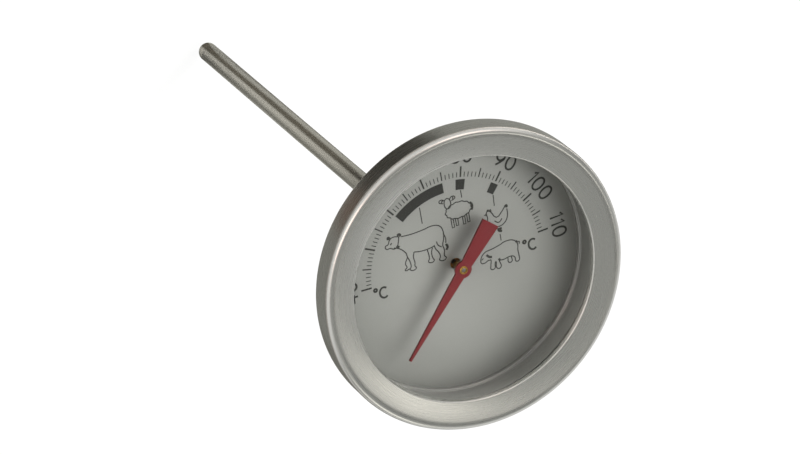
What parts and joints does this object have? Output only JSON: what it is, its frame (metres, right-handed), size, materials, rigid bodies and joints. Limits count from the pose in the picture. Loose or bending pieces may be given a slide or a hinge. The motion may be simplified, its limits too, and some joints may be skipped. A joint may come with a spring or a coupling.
{
  "type": "dial meat thermometer",
  "caption": "Probe thermometer for roasting meat: round dial with a red pointer under glass, on a thin stem with a bimetal helix inside.",
  "frame": {"origin": "on the axis of the stem, at the lower face of the stem collar, where the free stem begins", "axes": "+Z along the stem, out of the dial towards the reader; +Y to the top of the scale; +X to its right side"},
  "size_m": [0.054, 0.054, 0.1268],
  "materials": {
    "brushed_stainless": "brushed",
    "pressed_stainless": "satin",
    "stem_stainless": "ground",
    "window_glass": "polished",
    "silicone_rubber": "matt",
    "spacer_aluminium": "turned",
    "dial_aluminium": "satin anodised",
    "dial_ink": "screen printed",
    "zinc_steel": "zinc plated",
    "red_paint": "semi-gloss paint",
    "brass": "turned",
    "bimetal_strip": "rolled",
    "spindle_steel": "drawn",
    "bush_plastic": "moulded",
    "bronze": "sintered"
  },
  "bodies": {
    "root": {"bezel": "brushed_stainless", "window_glass": "window_glass", "window_gasket": "silicone_rubber", "spacer_ring": "spacer_aluminium", "dial_plate": "dial_aluminium", "dial_support_ring": "zinc_steel", "case_cup": "pressed_stainless", "stem_collar": "pressed_stainless", "clamp_washer": "zinc_steel", "stem_tube": "stem_stainless", "stem_tip": "stem_stainless", "helix_anchor": "brass", "bimetal_helix": "bimetal_strip", "lower_guide_bush": "bush_plastic", "upper_guide_bush": "bush_plastic", "top_bearing": "bronze"},
    "pointer_spindle": {"spindle": "spindle_steel", "helix_ferrule": "brass", "pointer_bush": "brass", "pointer": "red_paint"}
  },
  "joints": [
    {"name": "pointer_turn", "type": "hinge", "parent": "root", "child": "pointer_spindle", "pos_m": [0, 0, 0], "axis": [0, 0, -1], "range_deg": [-50, 250], "stiffness_Nm_per_rad": 0.0001, "deforming": ["bimetal_helix"]}
  ]
}
